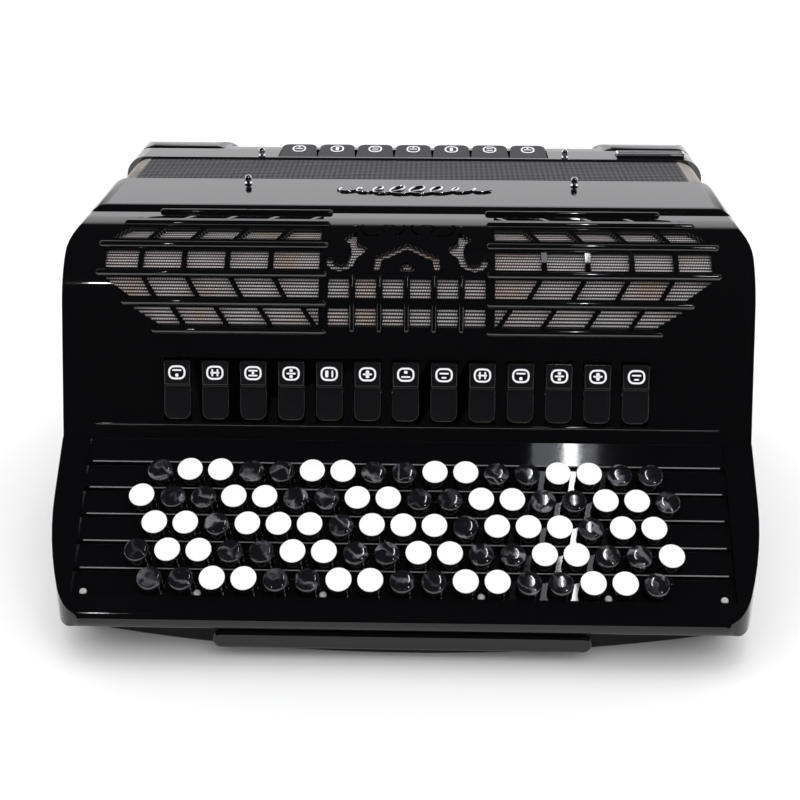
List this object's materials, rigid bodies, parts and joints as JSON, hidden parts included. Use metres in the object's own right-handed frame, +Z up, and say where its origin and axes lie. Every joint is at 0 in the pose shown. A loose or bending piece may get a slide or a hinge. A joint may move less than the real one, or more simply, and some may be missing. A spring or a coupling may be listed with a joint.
{
  "type": "button accordion",
  "caption": "Closed button accordion lying on its back, with stepped button keyboard, register tabs, curved grille, bellows and a strapped bass end.",
  "frame": {"origin": "on the surface it rests on, under the middle of its outer box", "axes": "+X along the long side of the cases, +Y from the button keyboard towards the bass end, +Z up, which is the instrument's front"},
  "size_m": [0.424, 0.4354, 0.2315],
  "materials": {
    "case_lacquer": "polished black lacquer",
    "keyboard_lacquer": "polished black lacquer",
    "grille_lacquer": "black enamelled metal",
    "gauze": "ribbed metallic gauze",
    "register_plastic": "polished black tabs",
    "button_plastic": "black pearl and white caps",
    "bass_button_plastic": "polished white",
    "steel": "polished chrome",
    "soft_black": "matt black cloth",
    "bellows_cloth": "patterned bellows cloth on card",
    "corner_metal": "dull bronzed steel",
    "inner_wood": "bare spruce and beech",
    "strap_leather": "black leather",
    "foot_rubber": "black rubber"
  },
  "bodies": {
    "treble": {"treble_case": "case_lacquer", "grille_cover": "grille_lacquer", "grille_bars": "grille_lacquer", "grille_cloth": "gauze", "register_plate": "grille_lacquer", "register_axle": "steel", "fingerboard": "keyboard_lacquer", "keyboard_body": "keyboard_lacquer", "keyboard_back": "soft_black", "keyboard_screws": "steel", "case_emblem": "steel", "treble_soundboard": "inner_wood", "treble_reed_blocks": "inner_wood", "treble_strap_studs": "steel", "treble_feet": "foot_rubber", "shoulder_brackets": "steel", "bellows_frame_treble": "inner_wood", "bellows": "bellows_cloth", "bellows_corners": "corner_metal"},
    "bass": {"bellows_frame_bass": "inner_wood", "bass_case": "case_lacquer", "bass_cover": "case_lacquer", "bass_button_board": "case_lacquer", "bass_register_axle": "steel", "hand_strap": "strap_leather", "bass_soundboard": "inner_wood", "bass_reed_blocks": "inner_wood", "bass_strap_studs": "steel", "bass_feet": "foot_rubber"},
    "treble_register_1_body": {"treble_register_1": "register_plastic"},
    "treble_register_2_body": {"treble_register_2": "register_plastic"},
    "treble_register_3_body": {"treble_register_3": "register_plastic"},
    "treble_register_4_body": {"treble_register_4": "register_plastic"},
    "treble_register_5_body": {"treble_register_5": "register_plastic"},
    "treble_register_6_body": {"treble_register_6": "register_plastic"},
    "treble_register_7_body": {"treble_register_7": "register_plastic"},
    "treble_register_8_body": {"treble_register_8": "register_plastic"},
    "treble_register_9_body": {"treble_register_9": "register_plastic"},
    "treble_register_10_body": {"treble_register_10": "register_plastic"},
    "treble_register_11_body": {"treble_register_11": "register_plastic"},
    "treble_register_12_body": {"treble_register_12": "register_plastic"},
    "treble_register_13_body": {"treble_register_13": "register_plastic"},
    "treble_buttons_row_1_body": {"treble_buttons_row_1": "button_plastic"},
    "treble_buttons_row_2_body": {"treble_buttons_row_2": "button_plastic"},
    "treble_buttons_row_3_body": {"treble_buttons_row_3": "button_plastic"},
    "treble_buttons_row_4_body": {"treble_buttons_row_4": "button_plastic"},
    "treble_buttons_row_5_body": {"treble_buttons_row_5": "button_plastic"},
    "palm_bar_body": {"palm_bar": "keyboard_lacquer"},
    "bass_buttons_front_body": {"bass_buttons_front": "bass_button_plastic"},
    "bass_buttons_back_body": {"bass_buttons_back": "bass_button_plastic"},
    "bass_register_1_body": {"bass_register_1": "register_plastic"},
    "bass_register_2_body": {"bass_register_2": "register_plastic"},
    "bass_register_3_body": {"bass_register_3": "register_plastic"},
    "bass_register_4_body": {"bass_register_4": "register_plastic"},
    "bass_register_5_body": {"bass_register_5": "register_plastic"},
    "bass_register_6_body": {"bass_register_6": "register_plastic"},
    "bass_register_7_body": {"bass_register_7": "register_plastic"},
    "converter_bar_body": {"converter_bar": "steel"},
    "air_button_body": {"air_button": "steel"},
    "strap_wheel_body": {"strap_wheel": "steel"}
  },
  "joints": [
    {"name": "bellows_slide", "type": "slide", "parent": "treble", "child": "bass", "axis": [0, 1, 0], "range_m": [0, 0.32], "deforming": ["bellows", "bellows_corners"]},
    {"name": "treble_register_1_rock", "type": "hinge", "parent": "treble", "child": "treble_register_1_body", "pos_m": [-0.1404, -0.11174, 0.13137], "axis": [1, 0, 0], "range_deg": [-6, 0], "stiffness_Nm_per_rad": 0.1, "springref_deg": 6.88},
    {"name": "treble_register_2_rock", "type": "hinge", "parent": "treble", "child": "treble_register_2_body", "pos_m": [-0.117, -0.11174, 0.13137], "axis": [1, 0, 0], "range_deg": [-6, 0], "stiffness_Nm_per_rad": 0.1, "springref_deg": 6.88},
    {"name": "treble_register_3_rock", "type": "hinge", "parent": "treble", "child": "treble_register_3_body", "pos_m": [-0.0936, -0.11174, 0.13137], "axis": [1, 0, 0], "range_deg": [-6, 0], "stiffness_Nm_per_rad": 0.1, "springref_deg": 6.88},
    {"name": "treble_register_4_rock", "type": "hinge", "parent": "treble", "child": "treble_register_4_body", "pos_m": [-0.0702, -0.11174, 0.13137], "axis": [1, 0, 0], "range_deg": [-6, 0], "stiffness_Nm_per_rad": 0.1, "springref_deg": 6.88},
    {"name": "treble_register_5_rock", "type": "hinge", "parent": "treble", "child": "treble_register_5_body", "pos_m": [-0.0468, -0.11174, 0.13137], "axis": [1, 0, 0], "range_deg": [-6, 0], "stiffness_Nm_per_rad": 0.1, "springref_deg": 6.88},
    {"name": "treble_register_6_rock", "type": "hinge", "parent": "treble", "child": "treble_register_6_body", "pos_m": [-0.0234, -0.11174, 0.13137], "axis": [1, 0, 0], "range_deg": [-6, 0], "stiffness_Nm_per_rad": 0.1, "springref_deg": 6.88},
    {"name": "treble_register_7_rock", "type": "hinge", "parent": "treble", "child": "treble_register_7_body", "pos_m": [0, -0.11174, 0.13137], "axis": [1, 0, 0], "range_deg": [-6, 0], "stiffness_Nm_per_rad": 0.1, "springref_deg": 6.88},
    {"name": "treble_register_8_rock", "type": "hinge", "parent": "treble", "child": "treble_register_8_body", "pos_m": [0.0234, -0.11174, 0.13137], "axis": [1, 0, 0], "range_deg": [-6, 0], "stiffness_Nm_per_rad": 0.1, "springref_deg": 6.88},
    {"name": "treble_register_9_rock", "type": "hinge", "parent": "treble", "child": "treble_register_9_body", "pos_m": [0.0468, -0.11174, 0.13137], "axis": [1, 0, 0], "range_deg": [-6, 0], "stiffness_Nm_per_rad": 0.1, "springref_deg": 6.88},
    {"name": "treble_register_10_rock", "type": "hinge", "parent": "treble", "child": "treble_register_10_body", "pos_m": [0.0702, -0.11174, 0.13137], "axis": [1, 0, 0], "range_deg": [-6, 0], "stiffness_Nm_per_rad": 0.1, "springref_deg": 6.88},
    {"name": "treble_register_11_rock", "type": "hinge", "parent": "treble", "child": "treble_register_11_body", "pos_m": [0.0936, -0.11174, 0.13137], "axis": [1, 0, 0], "range_deg": [-6, 0], "stiffness_Nm_per_rad": 0.1, "springref_deg": 6.88},
    {"name": "treble_register_12_rock", "type": "hinge", "parent": "treble", "child": "treble_register_12_body", "pos_m": [0.117, -0.11174, 0.13137], "axis": [1, 0, 0], "range_deg": [-6, 0], "stiffness_Nm_per_rad": 0.1, "springref_deg": 6.88},
    {"name": "treble_register_13_rock", "type": "hinge", "parent": "treble", "child": "treble_register_13_body", "pos_m": [0.1404, -0.11174, 0.13137], "axis": [1, 0, 0], "range_deg": [-6, 0], "stiffness_Nm_per_rad": 0.1, "springref_deg": 6.88},
    {"name": "treble_buttons_row_1_press", "type": "slide", "parent": "treble", "child": "treble_buttons_row_1_body", "axis": [0, 0.5299, -0.848], "range_m": [0, 0.0045], "stiffness_N_per_m": 800, "springref_m": -0.003},
    {"name": "treble_buttons_row_2_press", "type": "slide", "parent": "treble", "child": "treble_buttons_row_2_body", "axis": [0, 0.5299, -0.848], "range_m": [0, 0.0045], "stiffness_N_per_m": 800, "springref_m": -0.003},
    {"name": "treble_buttons_row_3_press", "type": "slide", "parent": "treble", "child": "treble_buttons_row_3_body", "axis": [0, 0.5299, -0.848], "range_m": [0, 0.0045], "stiffness_N_per_m": 800, "springref_m": -0.003},
    {"name": "treble_buttons_row_4_press", "type": "slide", "parent": "treble", "child": "treble_buttons_row_4_body", "axis": [0, 0.5299, -0.848], "range_m": [0, 0.0045], "stiffness_N_per_m": 800, "springref_m": -0.003},
    {"name": "treble_buttons_row_5_press", "type": "slide", "parent": "treble", "child": "treble_buttons_row_5_body", "axis": [0, 0.5299, -0.848], "range_m": [0, 0.0045], "stiffness_N_per_m": 800, "springref_m": -0.003},
    {"name": "palm_bar_press", "type": "slide", "parent": "treble", "child": "palm_bar_body", "axis": [0, 1, 0], "range_m": [0, 0.003], "stiffness_N_per_m": 800, "springref_m": -0.003},
    {"name": "bass_buttons_front_press", "type": "slide", "parent": "bass", "child": "bass_buttons_front_body", "axis": [0, -1, 0], "range_m": [0, 0.004], "stiffness_N_per_m": 900, "springref_m": -0.003},
    {"name": "bass_buttons_back_press", "type": "slide", "parent": "bass", "child": "bass_buttons_back_body", "axis": [0, -1, 0], "range_m": [0, 0.004], "stiffness_N_per_m": 900, "springref_m": -0.003},
    {"name": "bass_register_1_press", "type": "hinge", "parent": "bass", "child": "bass_register_1_body", "pos_m": [-0.0849, 0.1053, 0.2236], "axis": [1, 0, 0], "range_deg": [-8, 0], "stiffness_Nm_per_rad": 0.05, "springref_deg": 5.73},
    {"name": "bass_register_2_press", "type": "hinge", "parent": "bass", "child": "bass_register_2_body", "pos_m": [-0.0566, 0.1053, 0.2236], "axis": [1, 0, 0], "range_deg": [-8, 0], "stiffness_Nm_per_rad": 0.05, "springref_deg": 5.73},
    {"name": "bass_register_3_press", "type": "hinge", "parent": "bass", "child": "bass_register_3_body", "pos_m": [-0.0283, 0.1053, 0.2236], "axis": [1, 0, 0], "range_deg": [-8, 0], "stiffness_Nm_per_rad": 0.05, "springref_deg": 5.73},
    {"name": "bass_register_4_press", "type": "hinge", "parent": "bass", "child": "bass_register_4_body", "pos_m": [0, 0.1053, 0.2236], "axis": [1, 0, 0], "range_deg": [-8, 0], "stiffness_Nm_per_rad": 0.05, "springref_deg": 5.73},
    {"name": "bass_register_5_press", "type": "hinge", "parent": "bass", "child": "bass_register_5_body", "pos_m": [0.0283, 0.1053, 0.2236], "axis": [1, 0, 0], "range_deg": [-8, 0], "stiffness_Nm_per_rad": 0.05, "springref_deg": 5.73},
    {"name": "bass_register_6_press", "type": "hinge", "parent": "bass", "child": "bass_register_6_body", "pos_m": [0.0566, 0.1053, 0.2236], "axis": [1, 0, 0], "range_deg": [-8, 0], "stiffness_Nm_per_rad": 0.05, "springref_deg": 5.73},
    {"name": "bass_register_7_press", "type": "hinge", "parent": "bass", "child": "bass_register_7_body", "pos_m": [0.0849, 0.1053, 0.2236], "axis": [1, 0, 0], "range_deg": [-8, 0], "stiffness_Nm_per_rad": 0.05, "springref_deg": 5.73},
    {"name": "converter_bar_press", "type": "slide", "parent": "bass", "child": "converter_bar_body", "axis": [0, 0, -1], "range_m": [0, 0.0025], "stiffness_N_per_m": 600, "springref_m": -0.002},
    {"name": "air_button_press", "type": "slide", "parent": "bass", "child": "air_button_body", "axis": [0, -1, 0], "range_m": [0, 0.005], "stiffness_N_per_m": 500, "springref_m": -0.003},
    {"name": "strap_wheel_turn", "type": "hinge", "parent": "bass", "child": "strap_wheel_body", "pos_m": [0.192, 0.1647, 0.041], "axis": [1, 0, 0], "continuous": true}
  ]
}
